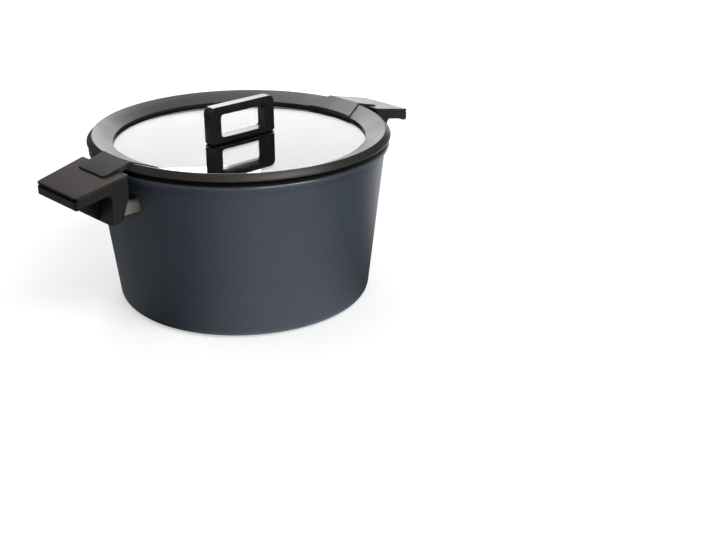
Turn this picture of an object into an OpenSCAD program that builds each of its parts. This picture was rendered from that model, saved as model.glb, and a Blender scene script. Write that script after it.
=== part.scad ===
// A cast aluminium cooking pot with two side handles, and a flat glass lid in a broad silicone rim.
// The origin is the centre of the base on the hob, +Z is up, and the handles lie along X.

/* [Pot] */
// Outer diameter of the wall, produced up to the rim
pot_d = 253; // [220:0.2:280]
// How far the wall leans in from the rim to the hob
wall_in = 15; // [6:0.5:24]
// Height of the pot without its lid
pot_h = 138.5; // [110:0.5:180]
// Thickness of the cast wall
wall_t = 4.5; // [3:0.1:6]
// Thickness of the cast base, measured inside the pot
base_t = 8; // [5:0.5:12]
// Outer radius where the wall meets the base
base_corner_r = 8; // [3:0.5:14]
// Inner radius where the wall meets the base
inner_corner_r = 14; // [6:0.5:24]
// How far the pouring lip stands out from the wall
lip_out = 3; // [1.5:0.1:5]
// Thickness of the pouring lip
lip_t = 4.1; // [3.7:0.1:6]
// Height of the cove under the pouring lip
lip_cove_h = 4.5; // [2:0.5:9]
// Rounding of the pouring lip's edges
lip_edge_r = 1.8; // [0.5:0.1:2]

/* [Induction disc] */
// Width of the base left round the steel disc
disc_margin = 16.5; // [14:0.5:40]
// Thickness of the steel disc
disc_t = 1.5; // [0.8:0.1:3]
// Diameter of one perforation
disc_hole_d = 4.4; // [2:0.2:6]
// Distance from the outer ring of perforations to the disc's edge
disc_edge = 10; // [6:0.5:30]
// Number of rings of perforations
disc_rings = 5; // [1:1:6]

/* [Handles] */
// Length of the grip from its root to its free end
handle_len = 46.5; // [40:0.5:70]
// Width of the handle at its root
handle_root_w = 64.6; // [56:0.2:80]
// Width of the handle at its free end
handle_end_w = 56.6; // [40:0.2:70]
// Gap from the pouring lip to the handle's root
handle_root_gap = 6.5; // [3:0.1:10]
// Height of the handle's root above the pot's rim
handle_rise = 6.9; // [5:0.1:8]
// Angle by which the grip falls towards its free end
handle_droop = 12; // [6:0.5:14]
// Thickness of the grip with its cover
grip_t = 9.8; // [8:0.1:13]
// Thickness of the cover plate
cover_t = 2.4; // [2:0.1:3.4]
// Height of the bracket plate's foot below the steel sleeve
bracket_below = 1; // [0.6:0.1:6]
// Thickness of the bracket plate under the grip
bracket_t = 15.6; // [12:0.1:18]
// Thickness of the bracket plate at its foot
bracket_foot_t = 10; // [8:0.1:13]
// Width of the gusset between the grip and the bracket plate
gusset_w = 20; // [16:0.5:40]
// Height of the lip under the free end
end_lip_h = 1.6; // [0.6:0.1:4]
// Thickness of the lip under the free end
end_lip_t = 4.5; // [4:0.1:7]

/* [Flame guards] */
// Width of the steel sleeve
guard_w = 45; // [34:0.5:50]
// Height of the steel sleeve
guard_h = 13.5; // [11:0.5:14]
// Thickness of the sheet
guard_t = 1; // [0.6:0.1:1.4]
// Outer corner radius of the sleeve
guard_corner_r = 2.6; // [1.8:0.1:4]
// Height from the pot's rim down to the sleeve's top
guard_drop = 18; // [14:0.5:40]
// How far the sleeve is let into the bracket plate at its foot
guard_let = 0.3; // [0.2:0.1:2]

/* [Handle screws] */
// Diameter of the screw's shank
screw_d = 6; // [4:0.5:7]
// How far the screw's tip stops short of the insert's inner end
screw_short = 1.7; // [0.5:0.1:4]
// Diameter of the screw's head
screw_head_d = 10; // [8.5:0.5:11]
// Height of the screw's head
screw_head_h = 5; // [3:0.5:6]
// Thickness of the spring washer
washer_t = 1.2; // [0.8:0.1:1.6]
// Diameter of the threaded insert
insert_d = 8.6; // [8:0.2:9.6]
// Length of the threaded insert
insert_len = 11; // [8:0.5:12]

/* [Lid glass] */
// How far the glass's edge lies under the rim
glass_hold = 6; // [4:0.5:7.5]
// Thickness of the glass
glass_t = 4; // [3:0.5:5]
// Height of the glass's top above the pot's rim
glass_rise = 1.2; // [0.6:0.1:3.4]

/* [Lid rim] */
// Width of the rim's cone from its crest to its inner edge
cone_w = 17.2; // [16:0.2:30]
// Thickness of the upper lip where it meets the glass
rim_lip_t = 2.4; // [1.6:0.1:4]
// How far the rim's crest lies inside the pouring lip's edge
crest_in = 3.5; // [2:0.1:8]
// Height of the rim's crest above the pot's rim
crest_rise = 10.5; // [9:0.1:14]
// How far the rim overhangs the pouring lip
rim_over = 1; // [0.4:0.1:2]
// Height of the shadow gap between the rim and the pouring lip
rim_gap_h = 1.4; // [0.8:0.1:3]
// Thickness of the clamp under the glass
clamp_t = 3; // [2:0.1:5]
// Depth of the skirt below the pot's rim
skirt_depth = 11; // [8:0.1:14]
// Gap between the skirt and the pot's wall
skirt_gap = 1.1; // [0.5:0.1:2]
// Thickness of the skirt at its foot
skirt_t = 4.5; // [3:0.1:7]

/* [Lid tabs] */
// Length of each tab past the handle's root
tab_len = 14.5; // [12:0.5:24]
// Width of the tab's pad at the lid's glass
tab_in_w = 51; // [44:0.5:64]
// Width of the tab at its free end
tab_end_w = 37.6; // [24:0.2:42]
// Radius of the tab's corners at its free end
tab_corner_r = 4.5; // [1:0.1:8]
// Height of the tab's pad above the rim's cone
tab_pad_rise = 1; // [0.4:0.1:1.5]
// Height of the tab's free end above the handle's cover
tab_proud = 1.1; // [0.6:0.1:2.5]
// Gap round the tab in the handle's notch
tab_gap = 0.8; // [0.4:0.1:1.5]

/* [Knob] */
// Length of the knob
knob_len = 70; // [56:0.5:90]
// Height of the knob above its gasket
knob_h = 31.7; // [26:0.1:40]
// Thickness of the knob
knob_t = 11; // [10:0.2:14]
// How much each face of the knob bulges between its ends
knob_crown = 1; // [0.2:0.1:1.2]
// Width of each upright
knob_post_w = 11; // [9.5:0.2:13]
// Height of the top bar
knob_top_t = 7.4; // [5:0.1:9]
// Height of the foot bar
knob_foot_t = 4.6; // [3.5:0.1:7]
// Radius of the window's corners
knob_window_r = 3; // [1:0.1:4]
// Radius of the knob's upper corners
knob_corner_r = 4; // [1:0.1:4.5]
// Thickness of each knob gasket
gasket_t = 0.8; // [0.5:0.1:1.2]
// Thickness of the backing plate under the glass
backing_t = 1.2; // [0.8:0.1:2]
// Diameter of the knob screws
knob_screw_d = 4; // [3:0.5:4.5]
// How far the knob screws' tips stop short of their inserts' upper ends
knob_screw_short = 0.8; // [0.4:0.1:3]

/* [Hidden] */
$fn = 96;

// clearances and overruns
cut_over = 1;           // how far a cutting shape runs past what it cuts
seat_gap = 0.3;         // lid above the pot's rim, and tab above the handle
slip_gap = 0.15;        // round a piece that slips into another
thread_gap = 0.05;      // round a thread in its insert
arc_steps = 5;          // straight pieces in a rounded corner

// pot
base_d = pot_d - 2 * wall_in;
wall_lean = wall_in / pot_h;
wall_angle = atan(wall_lean);
wall_across = wall_t / cos(wall_angle);
function outer_r(z) = base_d / 2 + wall_lean * z;
function inner_r(z) = outer_r(z) - wall_across;
lip_r = pot_d / 2 + lip_out;
lip_round = min(lip_edge_r, lip_t / 2);
disc_d = base_d - 2 * disc_margin;
disc_ring_step = (disc_d / 2 - disc_edge) / disc_rings;
inner_ring_holes = 6;   // perforations in the disc's inner ring

// handle, drawn on the +X side
root_x = lip_r + handle_root_gap;
end_x = root_x + handle_len;
root_z = pot_h + handle_rise;
function grip_z(x) = root_z - tan(handle_droop) * (x - root_x);
function body_z(x) = grip_z(x) - cover_t;
function under_z(x) = grip_z(x) - grip_t;
bracket_drop = guard_drop + guard_h + bracket_below;
foot_z = pot_h - bracket_drop;
bracket_lean = 7.5;     // how far the bracket's foot lies outside its root
heel_out = 1.2;         // how far the bracket's middle lies outside its root
heel_drop = 10.5;       // from the pot's rim to where the bracket starts to lean out
foot_in_x = root_x + bracket_lean;
foot_out_x = foot_in_x + bracket_foot_t;
lip_in_x = end_x - end_lip_t;
foot_r = 2.4;           // rounding of the bracket's foot in side view
foot_corner_r = 6;      // rounding of the bracket's foot as seen from the pot
end_r = 2.4;            // rounding under the free end
end_lip_r = 0.5;        // rounding of the lip's inner edge
end_corner_r = 5;       // rounding of the lip's ends as seen from outside
plan_r = 3;             // rounding of the free end's corners as seen from above
root_plan_r = 2;        // rounding of the root's corners as seen from above
cover_edge_r = 1.4;     // rounding of the cover's upper ends
groove_h = 1.6;         // shadow groove under the cover at the free end
groove_depth = 2.6;
peg_r = 2.4;            // pegs that locate the cover
peg_len = 2.6;
peg_in = 9;             // from the cover's free end and its sides to the pegs
pocket_r = 3.4;         // rounding of the corner between the grip and the bracket plate

// flame guard, boss and screw
guard_z = pot_h - guard_drop - guard_h / 2;
guard_end_x = foot_in_x + guard_let;
boss_gap = 0.4;         // between the boss and the sleeve
boss_short = 10.5;      // how much shorter the boss is than the sleeve
boss_end_x = guard_end_x - boss_short;
seat_wall_t = 4;        // between the sleeve's end and the screw's seat
seat_x = guard_end_x + seat_wall_t;
screw_z = guard_z;
screw_len = seat_x + washer_t - boss_end_x + insert_len - screw_short;
head_clear = 1.2;       // round the screw's head in its channel
socket_r = 3.2;         // the screw's hexagon socket, to its corners
socket_depth = 2.5;

// lid
rim_z = pot_h + seat_gap;
glass_top_z = pot_h + glass_rise;
glass_z = glass_top_z - glass_t;
crest_z = pot_h + crest_rise;
crest_d = 2 * (lip_r - crest_in);
rim_in_d = crest_d - 2 * cone_w;
rim_lip_z = glass_top_z + rim_lip_t;
glass_d = rim_in_d + 2 * glass_hold;
rim_r = lip_r + rim_over;
crest_edge_r = 1.3;
flank_r = 3;            // rounding where the flank is widest
flank_foot_r = 1;       // rounding of the flank's lower edge
skirt_z = pot_h - skirt_depth;
skirt_r = inner_r(skirt_z) - skirt_gap;
flank_foot_h = 4;       // from the shadow gap to where the flank is widest
tab_reach = root_x + tab_len;
tab_top_z = crest_z + tab_pad_rise;
tab_edge_r = 0.6;       // rounding of the tab's free end
pad_root_h = 1.2;       // how deep the pad is rooted in the rim
tab_fall = tab_top_z - grip_z(tab_reach) - tab_proud;
function tab_z(x) = tab_top_z - tab_fall * (x - crest_d / 2) / (tab_reach - crest_d / 2);
function pad_z(r) = tab_top_z + (crest_z - rim_lip_z) / cone_w * (r - crest_d / 2);

// knob
gasket_in = 1.2;        // how far a gasket lies inside the piece it seals
knob_z = glass_top_z + gasket_t;
knob_head_z = glass_z - gasket_t - backing_t;
knob_edge_r = 1.2;
post_x = knob_len / 2 - knob_post_w / 2;
knob_insert_r = 3;
knob_insert_len = 8;
knob_screw_len = knob_z + knob_insert_len - knob_screw_short - knob_head_z;
backing_over = 1.5;     // how far the backing plate reaches past the knob
knob_head_r = 3.6;
knob_head_h = 2.2;
glass_hole_gap = 0.6;   // round a knob screw in the glass

// points of an arc from angle a to angle b
function arc(c, r, a, b, steps = arc_steps) =
    [for (i = [0:steps]) c + r * [cos(a + (b - a) * i / steps), sin(a + (b - a) * i / steps)]];

// an angle brought into the half turn either way
function turn(a) = a > 180 ? a - 360 : a < -180 ? a + 360 : a;

// one corner q of an outline between its neighbours p and s, rounded with radius r
function corner(p, q, s, r) =
    r == 0 ? [q] :
    let (
        a = (p - q) / norm(p - q),
        b = (s - q) / norm(s - q),
        half = acos(a * b) / 2,
        c = q + (a + b) / norm(a + b) * r / sin(half),
        from = q + a * r / tan(half) - c,
        to = q + b * r / tan(half) - c,
        start = atan2(from[1], from[0]),
        sweep = turn(atan2(to[1], to[0]) - start)
    ) arc(c, r, start, start + sweep);

// an outline whose corners are given as [x, y, radius]
function outline(corners) =
    let (n = len(corners), at = function (i) [corners[i][0], corners[i][1]])
    [for (i = [0:n - 1]) each corner(at((i + n - 1) % n), at(i), at((i + 1) % n), corners[i][2])];

function box_outline(w, h, r) =
    outline([[-w / 2, -h / 2, r], [w / 2, -h / 2, r], [w / 2, h / 2, r], [-w / 2, h / 2, r]]);

// a shape drawn in X and Z, run through a width in Y
module along_y(width) {
    rotate([90, 0, 0]) linear_extrude(height = width, center = true) children();
}

// a shape drawn in Y and Z, run from one X to another
module along_x(from, to) {
    translate([from, 0, 0]) rotate([90, 0, 90]) linear_extrude(height = to - from) children();
}

// a round bar along X
module bar_x(from, to, z, r) {
    translate([from, 0, z]) rotate([0, 90, 0]) cylinder(h = to - from, r = r);
}

module left_side() {
    rotate([0, 0, 180]) children();
}

module both_sides() {
    children();
    left_side() children();
}

// Pot

module pot_outside() {
    corner_x = outer_r(base_corner_r) - base_corner_r / cos(wall_angle);
    lip_under_z = pot_h - lip_t;
    cove_z = lip_under_z - lip_cove_h;
    cove_out = lip_r - lip_round - outer_r(cove_z);
    rotate_extrude() polygon(concat(
        [[0, 0]],
        arc([corner_x, base_corner_r], base_corner_r, -90, -wall_angle),
        [for (i = [0:arc_steps])
            let (a = 90 * i / arc_steps)
                [outer_r(cove_z) + cove_out * (1 - cos(a)), cove_z + lip_cove_h * sin(a)]],
        arc([lip_r - lip_round, lip_under_z + lip_round], lip_round, -90, 0),
        arc([lip_r - lip_round, pot_h - lip_round], lip_round, 0, 90),
        [[0, pot_h]]
    ));
}

module pot_cavity() {
    corner_x = inner_r(base_t + inner_corner_r) - inner_corner_r / cos(wall_angle);
    mouth_r = lip_round / 2;
    rotate_extrude() polygon(concat(
        [[0, base_t]],
        arc([corner_x, base_t + inner_corner_r], inner_corner_r, -90, -wall_angle),
        [[inner_r(pot_h - mouth_r), pot_h - mouth_r]],
        [[inner_r(pot_h) + mouth_r, pot_h]],
        [[inner_r(pot_h) + mouth_r, pot_h + cut_over], [0, pot_h + cut_over]]
    ));
}

module guard_section(inset) {
    translate([0, guard_z])
        polygon(box_outline(guard_w - 2 * inset, guard_h - 2 * inset, guard_corner_r - inset));
}

module pot_body() {
    color("#39424f") difference() {
        union() {
            pot_outside();
            both_sides() along_x(inner_r(guard_z) - wall_t, boss_end_x) guard_section(guard_t + boss_gap);
        }
        pot_cavity();
        translate([0, 0, -cut_over]) cylinder(h = disc_t + cut_over, d = disc_d);
        both_sides() bar_x(boss_end_x - insert_len, boss_end_x + cut_over, screw_z, insert_d / 2);
    }
}

module induction_disc() {
    color("#a9a8a5") linear_extrude(height = disc_t) difference() {
        circle(d = disc_d);
        for (ring = [1:disc_rings], i = [0:inner_ring_holes * ring - 1])
            rotate(360 / inner_ring_holes * i / ring)
                translate([ring * disc_ring_step, 0])
                circle(d = disc_hole_d, $fn = 24);
    }
}

// Handles

module flame_guard() {
    color("#b9b7b2") difference() {
        along_x(inner_r(guard_z), guard_end_x) difference() {
            guard_section(0);
            guard_section(guard_t);
        }
        rotate_extrude() polygon([
            [0, foot_z - guard_h],
            [outer_r(foot_z - guard_h) + slip_gap, foot_z - guard_h],
            [outer_r(pot_h) + slip_gap, pot_h],
            [0, pot_h]
        ]);
    }
}

module thread_insert() {
    color("#b58e4a") difference() {
        bar_x(boss_end_x - insert_len, boss_end_x, screw_z, insert_d / 2);
        bar_x(boss_end_x - insert_len - cut_over, boss_end_x + cut_over, screw_z, screw_d / 2 + thread_gap);
    }
}

// the handle's outline as seen from above
module handle_plan() {
    polygon(outline([
        [root_x, -handle_root_w / 2, root_plan_r], [end_x, -handle_end_w / 2, plan_r],
        [end_x, handle_end_w / 2, plan_r], [root_x, handle_root_w / 2, root_plan_r]
    ]));
}

// the notch that takes the lid's tab, as seen from above
module notch_plan() {
    polygon(outline([
        [root_x - cut_over, -tab_end_w / 2 - tab_gap, 0],
        [tab_reach + tab_gap, -tab_end_w / 2 - tab_gap, tab_corner_r + tab_gap],
        [tab_reach + tab_gap, tab_end_w / 2 + tab_gap, tab_corner_r + tab_gap],
        [root_x - cut_over, tab_end_w / 2 + tab_gap, 0]
    ]));
}

// a shape drawn in X and Y, run through the whole height of a handle
module handle_column() {
    translate([0, 0, foot_z - cut_over])
        linear_extrude(height = bracket_drop + handle_rise + 2 * cut_over) children();
}

module handle_side() {
    polygon(outline([
        [root_x, body_z(root_x), 0],
        [end_x, body_z(end_x), 0],
        [end_x, under_z(end_x) - end_lip_h, end_r],
        [lip_in_x, under_z(lip_in_x) - end_lip_h, end_lip_r],
        [lip_in_x, under_z(lip_in_x), 0],
        [foot_out_x, foot_z, foot_r],
        [foot_in_x + foot_r, foot_z, foot_r],
        [foot_in_x, foot_z + 2 * foot_r, foot_r],
        [root_x + heel_out, pot_h - heel_drop, foot_r]
    ]));
}

// the open pocket beside the gusset in side view: between the bracket plate and the lip, below the grip
module pocket_side() {
    low_z = foot_z - cut_over;
    polygon(outline([
        [root_x + bracket_t, under_z(root_x + bracket_t), pocket_r],
        [foot_out_x, low_z, 0],
        [lip_in_x, low_z, 0],
        [lip_in_x, under_z(lip_in_x), 0]
    ]));
}

// what is cut away to round both ends of the lip
module lip_ends() {
    half_w = handle_end_w / 2 + (handle_root_w - handle_end_w) / 2 * end_lip_t / handle_len;
    low_z = under_z(end_x) - end_lip_h;
    along_x(lip_in_x, end_x + cut_over) difference() {
        translate([-handle_root_w / 2, low_z - cut_over]) square([handle_root_w, end_corner_r + cut_over]);
        translate([0, low_z + end_corner_r]) polygon(box_outline(2 * half_w, 2 * end_corner_r, end_corner_r));
    }
}

module handle_body() {
    color("#2b2a2a") difference() {
        intersection() {
            along_y(handle_root_w) handle_side();
            handle_column() handle_plan();
            along_x(root_x - cut_over, end_x + cut_over) polygon(outline([
                [-handle_root_w / 2, foot_z, foot_corner_r], [handle_root_w / 2, foot_z, foot_corner_r],
                [handle_root_w / 2, root_z, 0], [-handle_root_w / 2, root_z, 0]
            ]));
        }
        for (side = [-1, 1])
            translate([0, side * (handle_root_w + gusset_w) / 2, 0]) along_y(handle_root_w) pocket_side();
        lip_ends();
        // shadow groove under the cover
        along_y(handle_root_w) polygon([
            [end_x - groove_depth, body_z(end_x - groove_depth) - groove_h],
            [end_x + cut_over, body_z(end_x + cut_over) - groove_h],
            [end_x + cut_over, grip_z(end_x + cut_over)],
            [end_x - groove_depth, grip_z(end_x - groove_depth)]
        ]);
        // peg holes
        cover_pegs(slip_gap);
        // socket for the sleeve
        along_x(root_x - cut_over, guard_end_x + slip_gap) guard_section(-slip_gap);
        // screw
        bar_x(root_x, seat_x + cut_over, screw_z, screw_d / 2 + slip_gap);
        bar_x(seat_x, end_x, screw_z, screw_head_d / 2 + head_clear);
    }
}

module cover_pegs(gap) {
    peg_x = end_x - peg_in;
    for (side = [-1, 1])
        translate([peg_x, side * (handle_end_w / 2 - peg_in), body_z(peg_x) - peg_len - gap])
            cylinder(h = peg_len + gap + cover_t / 2, r = peg_r + gap, $fn = 24);
}

module handle_cover() {
    color("#4c4846") union() {
        difference() {
            intersection() {
                along_y(handle_root_w) polygon(outline([
                    [root_x, body_z(root_x), 0], [end_x, body_z(end_x), 0],
                    [end_x, grip_z(end_x), cover_edge_r], [root_x, grip_z(root_x), cover_edge_r]
                ]));
                handle_column() handle_plan();
            }
            handle_column() notch_plan();
        }
        cover_pegs(0);
    }
}

module spring_washer() {
    color("#9b9b9b") difference() {
        bar_x(seat_x, seat_x + washer_t, screw_z, screw_head_d / 2);
        bar_x(seat_x - cut_over, seat_x + washer_t + cut_over, screw_z, screw_d / 2 + slip_gap);
    }
}

module handle_screw() {
    under_head_x = seat_x + washer_t;
    color("#8f8f90") difference() {
        union() {
            bar_x(under_head_x - screw_len, under_head_x + screw_head_h / 2, screw_z, screw_d / 2);
            bar_x(under_head_x, under_head_x + screw_head_h, screw_z, screw_head_d / 2);
        }
        translate([under_head_x + screw_head_h - socket_depth, 0, screw_z]) rotate([0, 90, 0])
            cylinder(h = socket_depth + cut_over, r = socket_r, $fn = 6);
    }
}

// Lid

module lid_glass() {
    color([0.82, 0.87, 0.87, 0.45]) difference() {
        translate([0, 0, glass_z]) cylinder(h = glass_t, d = glass_d);
        screw_holes(glass_z, glass_t, knob_screw_d / 2 + glass_hole_gap);
    }
}

// the tab as seen from above: straight as far as the rim's crest, and wider over its cone
module tab_plan() {
    bend_x = crest_d / 2;
    in_x = rim_in_d / 2 - tab_in_w / 4;
    in_w = tab_end_w + (tab_in_w - tab_end_w) * (bend_x - in_x) / cone_w;
    polygon(outline([
        [in_x, -in_w / 2, 0], [bend_x, -tab_end_w / 2, 0], [tab_reach, -tab_end_w / 2, tab_corner_r],
        [tab_reach, tab_end_w / 2, tab_corner_r], [bend_x, tab_end_w / 2, 0], [in_x, in_w / 2, 0]
    ]));
}

// a pad over the rim's cone, bent down into a tab that lies in the handle's notch
module tab() {
    bend_x = crest_d / 2;
    in_x = rim_in_d / 2 - tab_in_w / 4;
    root_z = rim_lip_z - pad_root_h;
    intersection() {
        along_y(2 * tab_in_w) polygon(outline([
            [in_x, root_z, 0],
            [bend_x, root_z, 0],
            [bend_x, body_z(bend_x) + seat_gap, 0],
            [tab_reach, body_z(tab_reach) + seat_gap, tab_edge_r],
            [tab_reach, tab_z(tab_reach), tab_edge_r],
            [in_x, tab_z(in_x), 0]
        ]));
        rotate_extrude() polygon([
            [rim_in_d / 2, 0], [rim_in_d / 2, pad_z(rim_in_d / 2)],
            [2 * tab_reach, pad_z(2 * tab_reach)], [2 * tab_reach, 0]
        ]);
        linear_extrude(height = 2 * crest_z) tab_plan();
    }
}

module lid_rim() {
    groove_r = glass_d / 2;
    gap_z = rim_z + rim_gap_h;
    seat_r = lip_r - 3 / 2 * lip_round;
    lip_top = [rim_in_d / 2, rim_lip_z];
    crest = [crest_d / 2, crest_z];
    widest = [rim_r, gap_z + flank_foot_h];
    foot = [rim_r, gap_z];
    color("#5a5957") union() {
        rotate_extrude() polygon(concat(
            // under the glass and down the skirt
            [[rim_in_d / 2, glass_z], [rim_in_d / 2, glass_z - clamp_t]],
            arc([skirt_r - skirt_t / 2, skirt_z + skirt_t / 2], skirt_t / 2, -180, -90),
            arc([skirt_r - skirt_t / 4, skirt_z + skirt_t / 4], skirt_t / 4, -90, 0),
            // seat on the pouring lip, shadow gap and flank
            [[skirt_r, rim_z], [seat_r, rim_z], [seat_r, gap_z]],
            corner([seat_r, gap_z], foot, widest, flank_foot_r),
            corner(foot, widest, crest, flank_r),
            // crest, cone and upper lip
            corner(widest, crest, lip_top, crest_edge_r),
            [lip_top, [rim_in_d / 2, glass_top_z], [groove_r, glass_top_z], [groove_r, glass_z]]
        ));
        both_sides() tab();
    }
}

module knob_section() {
    polygon(outline([
        [-knob_t / 2, knob_z, knob_edge_r / 2], [knob_t / 2, knob_z, knob_edge_r / 2],
        [knob_t / 2, knob_z + knob_h, knob_edge_r], [-knob_t / 2, knob_z + knob_h, knob_edge_r]
    ]));
}

module knob_plan() {
    crown_r = (pow(knob_len / 2, 2) + pow(knob_crown, 2)) / (2 * knob_crown);
    intersection() {
        translate([0, knob_t / 2 - crown_r]) circle(r = crown_r, $fn = 720);
        translate([0, crown_r - knob_t / 2]) circle(r = crown_r, $fn = 720);
        square([knob_len, knob_t], center = true);
    }
}

module knob_face() {
    window_z = knob_z + knob_foot_t;
    window_h = knob_h - knob_foot_t - knob_top_t;
    difference() {
        polygon(outline([
            [-knob_len / 2, knob_z, knob_edge_r], [knob_len / 2, knob_z, knob_edge_r],
            [knob_len / 2, knob_z + knob_h, knob_corner_r], [-knob_len / 2, knob_z + knob_h, knob_corner_r]
        ]));
        translate([0, window_z + window_h / 2])
            polygon(box_outline(knob_len - 2 * knob_post_w, window_h, knob_window_r));
    }
}

module knob() {
    color("#161616") difference() {
        intersection() {
            along_y(knob_t + cut_over) knob_face();
            along_x(-knob_len, knob_len) knob_section();
            translate([0, 0, knob_z]) linear_extrude(height = knob_h) knob_plan();
        }
        for (side = [-1, 1])
            translate([side * post_x, 0, knob_z - cut_over])
                cylinder(h = knob_insert_len + cut_over, r = knob_insert_r, $fn = 32);
    }
}

module screw_holes(z, h, r) {
    for (side = [-1, 1])
        translate([side * post_x, 0, z - cut_over]) cylinder(h = h + 2 * cut_over, r = r, $fn = 32);
}

// a flat strip under or over the glass, with holes for both knob screws
module strip(z, t, over, hole_r) {
    difference() {
        translate([0, 0, z]) linear_extrude(height = t)
            polygon(box_outline(knob_len + 2 * over, knob_t + 2 * over, knob_edge_r));
        screw_holes(z, t, hole_r);
    }
}

module knob_gasket() {
    color("#303030") strip(glass_top_z, gasket_t, -gasket_in, knob_insert_r);
}

module backing_gasket() {
    hole_r = knob_screw_d / 2 + slip_gap;
    color("#303030") strip(glass_z - gasket_t, gasket_t, backing_over - gasket_in, hole_r);
}

module backing_plate() {
    hole_r = knob_screw_d / 2 + slip_gap;
    color("#b4b4b2") strip(glass_z - gasket_t - backing_t, backing_t, backing_over, hole_r);
}

module knob_inserts() {
    color("#b58e4a") difference() {
        for (side = [-1, 1])
            translate([side * post_x, 0, knob_z]) cylinder(h = knob_insert_len, r = knob_insert_r, $fn = 32);
        screw_holes(knob_z, knob_insert_len, knob_screw_d / 2 + thread_gap);
    }
}

module knob_screws() {
    color("#8f8f90") for (side = [-1, 1]) translate([side * post_x, 0, knob_head_z]) {
        translate([0, 0, -knob_head_h]) cylinder(h = knob_head_h, r = knob_head_r, $fn = 32);
        translate([0, 0, -knob_head_h / 2])
            cylinder(h = knob_screw_len + knob_head_h / 2, d = knob_screw_d, $fn = 32);
    }
}

pot_body();
induction_disc();
left_side() flame_guard();  // left_flame_guard
flame_guard();  // right_flame_guard
left_side() thread_insert();  // left_thread_insert
thread_insert();  // right_thread_insert
left_side() handle_body();  // left_handle_body
handle_body();  // right_handle_body
left_side() handle_cover();  // left_handle_cover
handle_cover();  // right_handle_cover
left_side() spring_washer();  // left_spring_washer
spring_washer();  // right_spring_washer
left_side() handle_screw();  // left_handle_screw
handle_screw();  // right_handle_screw
lid_glass();
lid_rim();
knob();
knob_gasket();
backing_gasket();
backing_plate();
knob_inserts();
knob_screws();
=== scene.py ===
import math

import bmesh
import bpy
from mathutils import Matrix, Vector


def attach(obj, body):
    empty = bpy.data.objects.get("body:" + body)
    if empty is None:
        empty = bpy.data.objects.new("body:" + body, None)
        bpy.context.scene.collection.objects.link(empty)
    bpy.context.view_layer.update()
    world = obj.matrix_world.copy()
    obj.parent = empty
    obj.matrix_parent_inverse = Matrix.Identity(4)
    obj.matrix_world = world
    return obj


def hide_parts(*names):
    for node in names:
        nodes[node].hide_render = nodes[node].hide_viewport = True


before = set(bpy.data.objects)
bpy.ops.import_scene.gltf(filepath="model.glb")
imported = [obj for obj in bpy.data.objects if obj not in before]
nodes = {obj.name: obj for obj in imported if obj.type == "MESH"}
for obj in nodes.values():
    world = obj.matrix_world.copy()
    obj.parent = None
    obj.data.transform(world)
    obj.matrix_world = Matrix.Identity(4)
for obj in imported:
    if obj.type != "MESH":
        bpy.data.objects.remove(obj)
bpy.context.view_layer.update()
mm = 0.001
print("frame loaded:", len(nodes), "CAD nodes")

meshLook = {
    "weld": 0.001 * mm,        # corners of a CAD mesh that are nearer than this are one
    "flat": 0.5,               # degrees between faces that are one flat face
    "sharp": 30,               # degrees from which an edge without a bevel stays sharp
    "faceWeight": 50,          # an even share for large and small faces in the shading
}
noiseSpan = (0.3, 0.7)         # the values that most of a noise lies between
fromEnds, toEnds = ("From Min", "From Max"), ("To Min", "To Max")


def linear(hexColor):
    # sRGB hex to the linear values that the shaders want
    channels = [int(hexColor[i:i + 2], 16) / 255 for i in (1, 3, 5)]
    levels = [c / 12.92 if c <= 0.04045 else ((c + 0.055) / 1.055) ** 2.4 for c in channels]
    return (*levels, 1.0)


def addNode(tree, kind, inputs=None, **settings):
    # one node with its settings; an input takes a value, a socket, or a node for its first output
    # in use, and a pair of inputs takes a pair
    node = tree.nodes.new("ShaderNode" + kind)
    for name, value in settings.items():
        setattr(node, name, value)
    rows = []
    for key, value in (inputs or {}).items():
        rows += zip(key, value) if isinstance(key, tuple) else [(key, value)]
    for key, value in rows:
        named = [socket for socket in node.inputs if socket.enabled and socket.name == key]
        target = named[0] if named else node.inputs[key]
        if isinstance(value, bpy.types.Node):
            value = next(socket for socket in value.outputs if socket.enabled)
        if isinstance(value, bpy.types.NodeSocket):
            tree.links.new(value, target)
        else:
            target.default_value = value
    return node


def newFinish(name):
    # an empty material, and the object's own coordinates in metres
    material = bpy.data.materials.new(name)
    material.use_nodes = True
    tree = material.node_tree
    tree.nodes.clear()
    return material, tree, addNode(tree, "TexCoord").outputs["Object"]


def setSurface(material, inputs):
    # one shader for the whole surface
    shader = addNode(material.node_tree, "BsdfPrincipled", inputs)
    addNode(material.node_tree, "OutputMaterial", {"Surface": shader})
    return material


def turningMarks(tree, place, spacing):
    # a lathe's feed marks: noise that changes only with the distance from the axis
    parts = addNode(tree, "SeparateXYZ", {0: place}).outputs
    flat = addNode(tree, "CombineXYZ", {"X": parts["X"], "Y": parts["Y"]})
    radius = addNode(tree, "VectorMath", {0: flat}, operation="LENGTH")
    across = addNode(tree, "CombineXYZ", {"X": radius})
    return addNode(tree, "TexNoise", {"Vector": across, "Scale": 1 / spacing, "Roughness": 0.7})


def drawnOut(tree, place, spacing, along):
    # lines round a piece that lies along X: noise that is along times longer than it is wide
    scale = (1 / spacing, 1 / (spacing * along), 1 / (spacing * along))
    stretched = addNode(tree, "Mapping", {"Vector": place, "Scale": scale})
    return addNode(tree, "TexNoise", {"Vector": stretched, "Scale": 1.0, "Roughness": 0.6})


def paint(material, *names):
    # CAD pieces that keep their shape
    for name in names:
        nodes[name].material_slots[0].material = material


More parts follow.
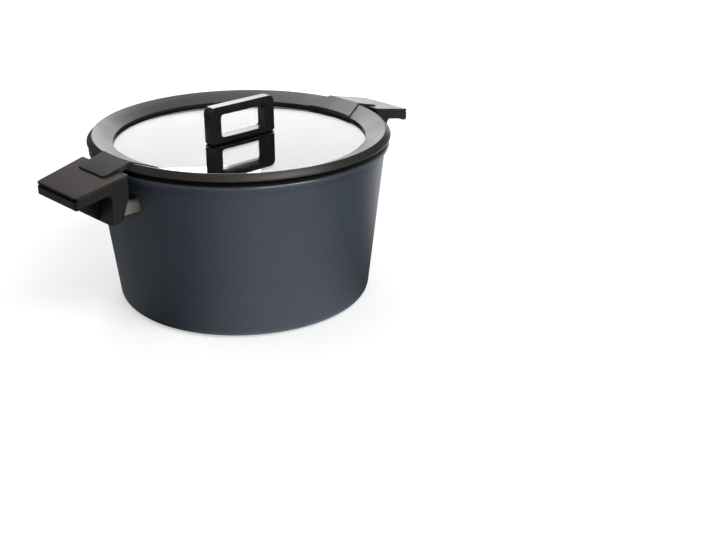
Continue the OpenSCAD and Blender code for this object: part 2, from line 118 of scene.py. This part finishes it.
def softenedCopy(node, name, body, material, edge, reshape=None):
    # a CAD piece with the small radii that its mould or die leaves along the edges
    bm = bmesh.new()
    bm.from_mesh(nodes[node].data)
    bmesh.ops.remove_doubles(bm, verts=bm.verts, dist=meshLook["weld"])
    if reshape is not None:
        reshape(bm)
    if edge is not None:
        bmesh.ops.dissolve_limit(
            bm, angle_limit=math.radians(meshLook["flat"]), verts=bm.verts, edges=bm.edges)
    for face in bm.faces:
        face.smooth = True
        face.material_index = 0
    mesh = bpy.data.meshes.new(name)
    bm.to_mesh(mesh)
    bm.free()
    if "custom_normal" in mesh.attributes:
        mesh.attributes.remove(mesh.attributes["custom_normal"])
    mesh.materials.clear()
    mesh.materials.append(material)
    piece = bpy.data.objects.new(name, mesh)
    bpy.context.scene.collection.objects.link(piece)
    if edge is None:
        mesh.set_sharp_from_angle(angle=math.radians(meshLook["sharp"]))
    else:
        bevel = piece.modifiers.new("edge", "BEVEL")
        bevel.limit_method, bevel.angle_limit = "ANGLE", math.radians(edge["sharper"])
        bevel.width, bevel.segments, bevel.profile = edge["width"], edge["segments"], 0.5
        bevel.use_clamp_overlap = False
        shading = piece.modifiers.new("shading", "WEIGHTED_NORMAL")
        shading.weight, shading.keep_sharp = meshLook["faceWeight"], False
    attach(piece, body)
    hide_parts(node)


# pot: cast aluminium with a sprayed and baked non-stick coating, its underside turned bare

potCoat = {
    "body": "#353d48",         # deep blue-grey
    "fleck": "#4a5462",        # pale mineral grain in the coating
    "fleckSpan": (0.5, 0.72),  # and the part of the grain that it takes
    "grain": 0.7 * mm,         # the real grain is about 0.2 mm, drawn coarser so that it shows
    "cloud": 21 * mm,          # where the coating was sprayed a little thicker
    "cloudShare": (0.0, 0.3),
    "peel": 3.5 * mm,          # the faint orange peel of a sprayed film
    "ior": 1.45,
    "roughness": (0.40, 0.50),
    "relief": 0.012 * mm,
    "peelRelief": 0.02 * mm,
    "lip": "#71777f",          # ground, so its film is thin and the metal glints through
    "lipAbove": (136.6 * mm, 137.1 * mm),
    "lipMetal": 0.65,
    "lipRoughness": (0.14, 0.22),
    "bare": "#b9b8b5",         # turned aluminium under the base
    "bareBelow": (0.25 * mm, 0.45 * mm),
    "bareRoughness": (0.3, 0.45),
    "turning": 0.5 * mm,       # feed marks of 0.15 mm, drawn coarser
}


def makePotCoat(look):
    # satin: a broad soft highlight, broken by the grain, and dull bright metal under the base
    material, tree, place = newFinish("nonstickCoating")
    grain = addNode(tree, "TexNoise", {
        "Vector": place, "Scale": 1 / look["grain"], "Detail": 3.0, "Roughness": 0.6})
    peel = addNode(tree, "TexNoise", {"Vector": place, "Scale": 1 / look["peel"], "Detail": 1.0})
    cloud = addNode(tree, "TexNoise", {"Vector": place, "Scale": 1 / look["cloud"]})
    turned = turningMarks(tree, place, look["turning"])

    # how much of each finish there is, by the height on the pot
    height = addNode(tree, "SeparateXYZ", {0: place}).outputs["Z"]
    lip = addNode(tree, "MapRange", {"Value": height, fromEnds: look["lipAbove"]},
                  interpolation_type="SMOOTHSTEP")
    bare = addNode(tree, "MapRange", {
        "Value": height, fromEnds: look["bareBelow"], toEnds: (1.0, 0.0)},
        interpolation_type="SMOOTHSTEP")

    flecked = addNode(tree, "MapRange", {"Value": grain, fromEnds: look["fleckSpan"]})
    clouded = addNode(tree, "MapRange", {
        "Value": cloud, fromEnds: noiseSpan, toEnds: look["cloudShare"]})
    color = linear(look["body"])
    for share, other in ((flecked, "fleck"), (clouded, "body"), (lip, "lip"), (bare, "bare")):
        color = addNode(tree, "Mix", {
            "Factor": share, "A": color, "B": linear(look[other])}, data_type="RGBA")

    rough = addNode(tree, "MapRange", {
        "Value": grain, fromEnds: noiseSpan, toEnds: look["roughness"]})
    for share, noise, ends in ((lip, grain, look["lipRoughness"]),
                               (bare, turned, look["bareRoughness"])):
        other = addNode(tree, "MapRange", {"Value": noise, fromEnds: noiseSpan, toEnds: ends})
        rough = addNode(tree, "Mix", {"Factor": share, "A": rough, "B": other})

    wave = addNode(tree, "Bump", {"Height": peel, "Distance": look["peelRelief"]})
    fine = addNode(tree, "Mix", {"Factor": bare, "A": grain, "B": turned})
    bump = addNode(tree, "Bump", {"Height": fine, "Distance": look["relief"], "Normal": wave})
    return setSurface(material, {
        "Base Color": color,
        "Metallic": addNode(tree, "Math", {
            0: lip, 1: look["lipMetal"], 2: bare}, operation="MULTIPLY_ADD"),
        "Roughness": rough,
        "IOR": look["ior"],
        "Normal": bump})


paint(makePotCoat(potCoat), "pot_body")
print("pot coated")


# steel and brass: brushed sleeves, turned disc, zinc-plated screws, turned inserts

sleeveLook = {
    "color": "#908d88",
    "shade": "#6f6c68",        # the darker lines of the brushing
    "brush": 0.22 * mm,        # spacing of the brush lines, drawn coarser than the real 0.05 mm
    "along": 60,               # and how many times longer they are
    "roughness": (0.24, 0.42),
    "relief": 0.012 * mm,
    "edge": {"width": 0.25 * mm, "segments": 2, "sharper": 30},
}
discLook = {
    "color": "#b6b3ae",
    "shade": "#9d9a95",
    "turning": 0.4 * mm,       # feed marks of 0.1 mm, drawn coarser
    "roughness": (0.28, 0.46),
    "relief": 0.01 * mm,
}
screwLook = {
    "color": "#a7a8aa",
    "grain": 0.3 * mm,         # crystals of 0.02 mm, drawn coarser
    "roughness": (0.28, 0.42),
    "relief": 0.004 * mm,
}
insertLook = {
    "color": "#b58e4a",
    "turning": 0.3 * mm,       # feed marks of 0.1 mm, drawn coarser
    "along": 40,               # and how many times longer they are
    "roughness": (0.26, 0.4),
    "relief": 0.006 * mm,
}


def setMetal(material, look, marks):
    # bare metal with the tool's marks in its gloss, and in its colour where it has a shade
    tree = material.node_tree
    color = linear(look["color"])
    if "shade" in look:
        level = addNode(tree, "MapRange", {"Value": marks, fromEnds: noiseSpan})
        color = addNode(tree, "Mix", {
            "Factor": level, "A": linear(look["shade"]), "B": color}, data_type="RGBA")
    return setSurface(material, {
        "Base Color": color,
        "Metallic": 1.0,
        "Roughness": addNode(tree, "MapRange", {
            "Value": marks, fromEnds: noiseSpan, toEnds: look["roughness"]}),
        "Normal": addNode(tree, "Bump", {"Height": marks, "Distance": look["relief"]})})


def makeSleeveSteel(look):
    # brushed round the sleeve, so highlights are drawn out along the pot
    material, tree, place = newFinish("brushedSleeveSteel")
    return setMetal(material, look, drawnOut(tree, place, look["brush"], look["along"]))


def makeDiscSteel(look):
    # turned on a lathe: rings round the centre that catch the light as a bow tie
    material, tree, place = newFinish("turnedDiscSteel")
    return setMetal(material, look, turningMarks(tree, place, look["turning"]))


def makeScrewSteel(look):
    # zinc plating: a fine dull sparkle over cold-headed steel
    material, tree, place = newFinish("zincPlatedSteel")
    return setMetal(material, look, addNode(tree, "TexNoise", {
        "Vector": place, "Scale": 1 / look["grain"], "Detail": 3.0, "Roughness": 0.7}))


def makeInsertBrass(look):
    # turned bar: fine bright rings across the insert
    material, tree, place = newFinish("turnedBrass")
    return setMetal(material, look, drawnOut(tree, place, look["turning"], look["along"]))


sleeveSteel = makeSleeveSteel(sleeveLook)
for side in ("left", "right"):
    softenedCopy(side + "_flame_guard", side + "_brushed_sleeve", "pot",
                 sleeveSteel, sleeveLook["edge"])
paint(makeDiscSteel(discLook), "induction_disc")
paint(makeScrewSteel(screwLook), "left_handle_screw", "right_handle_screw",
      "left_spring_washer", "right_spring_washer", "knob_screws", "backing_plate")
paint(makeInsertBrass(insertLook), "left_thread_insert", "right_thread_insert", "knob_inserts")
print("steel and brass finished")


# moulded plastics and silicone

handleLook = {
    "dark": "#0a0909", "light": "#141312",
    "grain": 0.45 * mm,        # spark-eroded mould texture of about 0.15 mm, drawn coarser
    "relief": 0.02 * mm,
    "roughness": (0.40, 0.52), "ior": 1.5, "specular": 0.28, "tint": "#ffffff",
    "edge": {"width": 0.5 * mm, "segments": 3, "sharper": 35},
    # the lip at the grip's free end: past this length, between these heights, and how far it rises
    "lipFrom": 177.5 * mm, "lipTop": (131.3 * mm, 132.4 * mm), "lipUp": 0.9 * mm,
}
coverLook = {
    "dark": "#1e1714", "light": "#29211e",
    "grain": 0.45 * mm,        # a finer texture of about 0.1 mm, drawn coarser
    "relief": 0.014 * mm,
    "roughness": (0.30, 0.38), "ior": 1.5, "specular": 0.32, "tint": "#ffe6dc",
    "edge": {"width": 0.35 * mm, "segments": 3, "sharper": 35},
    # its free end: past this length and below this height it is drawn in and raised
    "endFrom": 181.2 * mm, "endBelow": 134.0 * mm, "endIn": 0.992, "endUp": 0.7 * mm,
}
rimLook = {
    "dark": "#2a2928", "light": "#343332",
    "grain": 0.5 * mm,         # a fine blasted mould of about 0.1 mm, drawn coarser
    "relief": 0.012 * mm,
    "roughness": (0.30, 0.40), "ior": 1.43, "specular": 0.58, "tint": "#fff7f3",
    "gapRaise": 3.1 * mm,      # how far the shadow gap under the flank is opened
    "flank": (140.1 * mm, 144.7 * mm),              # from the flank's foot to its widest part
    "flankRadius": (126.7 * mm, 130.6 * mm),
    "gapBackWidth": 0.2 * mm, "gapBackIn": 0.955,   # the gap's back, drawn in towards the glass
}
knobLook = {
    "dark": "#23201f", "light": "#2b2827",
    "grain": 0.4 * mm,         # the grain of a plain satin mould, about 0.05 mm, drawn coarser
    "relief": 0.006 * mm,
    "roughness": (0.18, 0.26), "ior": 1.5, "specular": 0.75, "tint": "#fff1ec",
    "edge": {"width": 0.35 * mm, "segments": 3, "sharper": 35},
    "half": 35 * mm, "top": 172.2 * mm,             # the knob's outline as seen from the front
    "corner": 4 * mm, "softCorner": 5.8 * mm,       # its upper corners, before and after
    "ease": 20 * mm,                                # half the length that stays as it was
    "windowTop": 164.8 * mm,
    "settle": 0.25 * mm,                            # how far the top comes down
}
gasketLook = {
    "dark": "#161616", "light": "#1f1f1f",
    "grain": 0.5 * mm,         # the same blasted mould, drawn coarser
    "relief": 0.01 * mm,
    "roughness": (0.5, 0.6), "ior": 1.43, "specular": 0.5, "tint": "#ffffff",
}
mouldLook = {
    # what all the moulded pieces share
    "cloud": 40,               # grains across one cloud of slightly darker surface
    "cloudShare": (0.0, 0.3),
    "handled": (-0.03, 0.03),  # and how much duller or smoother it has become in use
}


def makeMoulded(name, look):
    # the mould's even grain: a random tone that is lighter on its tops and duller in its pits,
    # painted highlight and painted shade on the grain's relief
    material, tree, place = newFinish(name)
    grain = addNode(tree, "TexNoise", {
        "Vector": place, "Scale": 1 / look["grain"], "Detail": 3.0, "Roughness": 0.6})
    cloud = addNode(tree, "TexNoise", {
        "Vector": place, "Scale": 1 / (mouldLook["cloud"] * look["grain"])})
    # the grain's height also sets its colour: painted highlight on the tops, painted shade in the
    # pits
    level = addNode(tree, "MapRange", {"Value": grain, fromEnds: noiseSpan})
    clouded = addNode(tree, "MapRange", {
        "Value": cloud, fromEnds: noiseSpan, toEnds: mouldLook["cloudShare"]})
    color = linear(look["dark"])
    for share, other in ((level, "light"), (clouded, "dark")):
        color = addNode(tree, "Mix", {
            "Factor": share, "A": color, "B": linear(look[other])}, data_type="RGBA")
    rough = addNode(tree, "MapRange", {
        "Value": grain, fromEnds: noiseSpan, toEnds: look["roughness"]})
    handled = addNode(tree, "MapRange", {
        "Value": cloud, fromEnds: noiseSpan, toEnds: mouldLook["handled"]})
    return setSurface(material, {
        "Base Color": color,
        "Roughness": addNode(tree, "Math", {0: rough, 1: handled}, operation="ADD"),
        "IOR": look["ior"],
        "Specular IOR Level": look["specular"],
        "Specular Tint": linear(look["tint"]),
        "Normal": addNode(tree, "Bump", {"Height": grain, "Distance": look["relief"]})})


def openGap(bm):
    # the flank's foot, drawn up from the pot's lip, and less so towards its widest part
    low, high = rimLook["flank"]
    inner, outer = rimLook["flankRadius"]
    for v in bm.verts:
        if low < v.co.z < high and inner < v.co.xy.length < outer:
            if v.co.xy.length < inner + rimLook["gapBackWidth"]:
                v.co.xy *= rimLook["gapBackIn"]
            v.co.z += rimLook["gapRaise"] * (high - v.co.z) / (high - low)


def thinCoverEnd(bm):
    # the cover's free end runs out to a lip over the shadow groove
    for v in bm.verts:
        if abs(v.co.x) > coverLook["endFrom"] and v.co.z < coverLook["endBelow"]:
            v.co.x *= coverLook["endIn"]
            v.co.z += coverLook["endUp"]


def raiseEndLip(bm):
    # and the handle's lip comes up to that groove
    low, high = handleLook["lipTop"]
    for v in bm.verts:
        if abs(v.co.x) > handleLook["lipFrom"] and low < v.co.z < high:
            v.co.z += handleLook["lipUp"]


def roundKnobCorners(bm):
    # the upper corners take a larger radius, and the top comes down a little over the window
    half, top, corner, soft = (knobLook[name] for name in ("half", "top", "corner", "softCorner"))
    grown = soft - corner
    for v in bm.verts:
        across, up = abs(v.co.x) - (half - corner), v.co.z - (top - corner)
        if across >= 0 and up >= 0:
            reach = math.hypot(across, up)
            scale = (reach + grown) / max(reach, meshLook["weld"])
            v.co.x = math.copysign(half - soft + across * scale, v.co.x)
            v.co.z = top - soft + up * scale
        elif up > 0 and abs(v.co.x) > knobLook["ease"]:
            # the top edge beside the corner gives up the same length
            share = (abs(v.co.x) - knobLook["ease"]) / (half - corner - knobLook["ease"])
            v.co.x = math.copysign(abs(v.co.x) - share * grown, v.co.x)
        over = (v.co.z - knobLook["windowTop"]) / (top - knobLook["windowTop"])
        v.co.z -= knobLook["settle"] * max(over, 0.0)


handlePlastic = makeMoulded("sparkErodedThermoset", handleLook)
coverPlastic = makeMoulded("softTouchCover", coverLook)
for side in ("left", "right"):
    softenedCopy(side + "_handle_body", side + "_handle_shell", "pot",
                 handlePlastic, handleLook["edge"], raiseEndLip)
    softenedCopy(side + "_handle_cover", side + "_grip_cover", "pot",
                 coverPlastic, coverLook["edge"], thinCoverEnd)
softenedCopy("lid_rim", "silicone_ring", "lid",
             makeMoulded("satinSilicone", rimLook), None, openGap)
softenedCopy("knob", "knob_bridge", "lid",
             makeMoulded("satinKnobPlastic", knobLook), knobLook["edge"], roundKnobCorners)
paint(makeMoulded("blackGasketSilicone", gasketLook), "knob_gasket", "backing_gasket")
print("plastics and silicone finished")


# lid glass: a flat toughened sheet

glassLook = {
    "tint": "#fbf8f4",
    "ior": 1.52,
    "smearSize": 40 * mm,
    "smearSpan": (0.5, 0.75),  # the part of the noise that is smeared
    "smear": (0.0, 0.05),      # roughness of the clean glass, and of the faint smears on it
}


def makeGlass(look):
    # the clear sheet mirrors the white sweep at a low angle
    material, tree, place = newFinish("toughenedGlass")
    smears = addNode(tree, "TexNoise", {
        "Vector": place, "Scale": 1 / look["smearSize"], "Detail": 3.0})
    return setSurface(material, {
        "Base Color": linear(look["tint"]),
        "Roughness": addNode(tree, "MapRange", {
            "Value": smears, fromEnds: look["smearSpan"], toEnds: look["smear"]}),
        "IOR": look["ior"],
        "Transmission Weight": 1.0})


paint(makeGlass(glassLook), "lid_glass")
print("glass finished")


# floor, world and lamps

stageLook = {
    "white": "#ffffff",
    "glassDepth": 2.5,         # ray depth that takes in both faces of the glass
    "floorSide": 12.0,
    "floorBelow": 0.1 * mm,
    "floorRoughness": 0.9,
    "floorSeen": 0.70,         # share of the lit floor in what the camera sees
    "floorGlow": (0.52, 1.0),  # the rest is even white, near the object and far from it
    "floorGlowFrom": (0.3, 1.0),
    "floorBounce": "#808080",  # the floor as the object's surfaces see it
    "farFloorGlow": 1.8,       # where it runs up into the sweep behind the object
    "farFloorTurn": (-40, 8, 42, 66),   # azimuth in degrees from +X: dark, full, full, dark
    "farFloor": (0.1, 0.3),    # metres from the middle over which that glow comes up
    "leftFloorGlow": 0.15,     # a white card to the left
    "leftFloorSide": (-0.87, 0.5, 0), "leftFloorWidth": (0.8, 0.98),
    "nearFloorGlow": 1.0,      # in front, under the key softbox
    "nearFloorTurn": (-170, -118, -98, -48),
    "backdropGlow": 1.0,       # plain white behind everything
    "roomGlow": (0.10, 2.5),   # what the surfaces see: the unlit room, and the white sweep in it
    "sweepTurn": (24, 42, 58, 78),      # azimuth again, behind the object
    "sweepTop": (0.42, 0.50),  # sine of the elevation: full, dark
}
# mirrored says whether glossy surfaces show the lamp
lampLooks = {
    "keySoftbox": {
        "middle": (-0.05, -1.15, 1.4), "target": (0, 0, 0.08), "size": (1.3, 0.8),
        "radiance": 6.0, "mirrored": True},
    "backSoftbox": {
        "middle": (0.40, 0.68, 0.85), "target": (-0.21, -0.11, 0.85), "size": (0.28, 0.85),
        "radiance": 3.4, "mirrored": True},
    "topSoftbox": {
        "middle": (0.1, 0.2, 1.8), "target": (0, 0, 0), "size": (1.2, 1.2),
        "radiance": 1.2, "mirrored": True},
    "fillSoftbox": {
        "middle": (-0.8, 1.1, 0.75), "target": (0, 0, 0.08), "size": (1.2, 0.9),
        "radiance": 1.6, "mirrored": False},
}


def partOfTurn(tree, parts, turn):
    # 1 over one part of the turn round the object, fading to 0 at both ends of it
    azimuth = addNode(tree, "Math", {0: parts["Y"], 1: parts["X"]}, operation="ARCTAN2")
    start, full, last, end = (math.radians(angle) for angle in turn)
    rise = addNode(tree, "MapRange", {"Value": azimuth, fromEnds: (start, full)},
                   interpolation_type="SMOOTHSTEP")
    fall = addNode(tree, "MapRange", {
        "Value": azimuth, fromEnds: (last, end), toEnds: (1.0, 0.0)},
        interpolation_type="SMOOTHSTEP")
    return addNode(tree, "Math", {0: rise, 1: fall}, operation="MULTIPLY")


def seenByCamera(tree, depth):
    # 1 for what the camera sees, straight or through both faces of the glass
    path = addNode(tree, "LightPath").outputs
    shallow = addNode(tree, "Math", {0: path["Ray Depth"], 1: depth}, operation="LESS_THAN")
    through = addNode(tree, "Math", {
        0: path["Is Transmission Ray"], 1: shallow}, operation="MULTIPLY")
    return addNode(tree, "Math", {0: path["Is Camera Ray"], 1: through}, operation="MAXIMUM")


def makeFloor(look):
    mesh = bpy.data.meshes.new("floor")
    bm = bmesh.new()
    bmesh.ops.create_grid(bm, x_segments=1, y_segments=1, size=look["floorSide"] / 2)
    bmesh.ops.translate(bm, verts=bm.verts, vec=(0, 0, -look["floorBelow"]))
    bm.to_mesh(mesh)
    bm.free()
    floor = bpy.data.objects.new("floor", mesh)
    bpy.context.scene.collection.objects.link(floor)

    material, tree, place = newFinish("paleFloor")
    seen = seenByCamera(tree, look["glassDepth"])
    lit = (look["floorSeen"],) * 3 + (1.0,)
    color = addNode(tree, "Mix", {
        "Factor": seen, "A": linear(look["floorBounce"]), "B": lit}, data_type="RGBA")

    # white patches that only the object's surfaces see
    parts = addNode(tree, "SeparateXYZ", {0: place}).outputs
    away = addNode(tree, "VectorMath", {0: place}, operation="LENGTH")
    outward = addNode(tree, "VectorMath", {0: place}, operation="NORMALIZE")
    leftward = addNode(tree, "VectorMath", {0: outward, 1: look["leftFloorSide"]},
                       operation="DOT_PRODUCT")
    left = addNode(tree, "MapRange", {"Value": leftward, fromEnds: look["leftFloorWidth"]},
                   interpolation_type="SMOOTHSTEP")
    beyond = addNode(tree, "MapRange", {"Value": away, fromEnds: look["farFloor"]},
                     interpolation_type="SMOOTHSTEP")
    far = addNode(tree, "Math", {0: partOfTurn(tree, parts, look["farFloorTurn"]), 1: beyond},
                  operation="MULTIPLY")
    near = partOfTurn(tree, parts, look["nearFloorTurn"])
    glow = 0.0
    for patch, strength in ((far, look["farFloorGlow"]), (near, look["nearFloorGlow"]),
                            (left, look["leftFloorGlow"])):
        glow = addNode(tree, "Math", {0: patch, 1: strength, 2: glow}, operation="MULTIPLY_ADD")

    white = addNode(tree, "MapRange", {
        "Value": away, fromEnds: look["floorGlowFrom"], toEnds: look["floorGlow"]})
    mesh.materials.append(setSurface(material, {
        "Base Color": color,
        "Roughness": look["floorRoughness"],
        "Specular IOR Level": 0.0,
        "Emission Color": linear(look["white"]),
        "Emission Strength": addNode(tree, "Mix", {"Factor": seen, "A": glow, "B": white})}))


def makeWorld(look):
    world = bpy.data.worlds.new("studio")
    bpy.context.scene.world = world
    world.use_nodes = True
    tree = world.node_tree
    tree.nodes.clear()
    direction = addNode(tree, "TexCoord").outputs["Generated"]
    parts = addNode(tree, "SeparateXYZ", {0: direction}).outputs
    low = addNode(tree, "MapRange", {
        "Value": parts["Z"], fromEnds: look["sweepTop"], toEnds: (1.0, 0.0)},
        interpolation_type="SMOOTHSTEP")
    sweep = addNode(tree, "Math", {0: partOfTurn(tree, parts, look["sweepTurn"]), 1: low},
                    operation="MULTIPLY")
    level = addNode(tree, "MapRange", {"Value": sweep, toEnds: look["roomGlow"]})
    white = linear(look["white"])
    room = addNode(tree, "Background", {"Color": white, "Strength": level})
    backdrop = addNode(tree, "Background", {"Color": white, "Strength": look["backdropGlow"]})
    seen = seenByCamera(tree, look["glassDepth"])
    mixed = addNode(tree, "MixShader", {0: seen, 1: room, 2: backdrop})
    addNode(tree, "OutputWorld", {"Surface": mixed})


def addSoftbox(name, look):
    width, height = look["size"]
    lamp = bpy.data.lights.new(name, "AREA")
    lamp.shape = "RECTANGLE"
    lamp.size, lamp.size_y = width, height
    lamp.energy = look["radiance"] * math.pi * width * height
    holder = bpy.data.objects.new(name, lamp)
    bpy.context.scene.collection.objects.link(holder)
    holder.location = look["middle"]
    ahead = Vector(look["target"]) - Vector(look["middle"])
    holder.rotation_euler = ahead.to_track_quat("-Z", "Y").to_euler()
    holder.visible_camera = False
    holder.visible_glossy = look["mirrored"]


makeFloor(stageLook)
makeWorld(stageLook)
for lampName, lampLook in lampLooks.items():
    addSoftbox(lampName, lampLook)
print("stage lit")


# camera at the photograph's place

cameraLook = {
    "place": (-0.5801, -0.7317, 0.4227),
    "ahead": (0.6439, 0.6501, -0.4033),
    "roll": 0.306,             # degrees
    "lens": 55.67,
    "sensor": 36.0,
}


def makeCamera(look):
    data = bpy.data.cameras.new("camera")
    data.lens, data.sensor_width = look["lens"], look["sensor"]
    camera = bpy.data.objects.new("camera", data)
    bpy.context.scene.collection.objects.link(camera)
    turn = Vector(look["ahead"]).to_track_quat("-Z", "Y").to_matrix().to_4x4()
    roll = Matrix.Rotation(math.radians(look["roll"]), 4, "Z")
    camera.matrix_world = Matrix.Translation(look["place"]) @ turn @ roll
    bpy.context.scene.camera = camera


makeCamera(cameraLook)
bpy.context.scene.view_settings.view_transform = "Standard"
print("camera set")
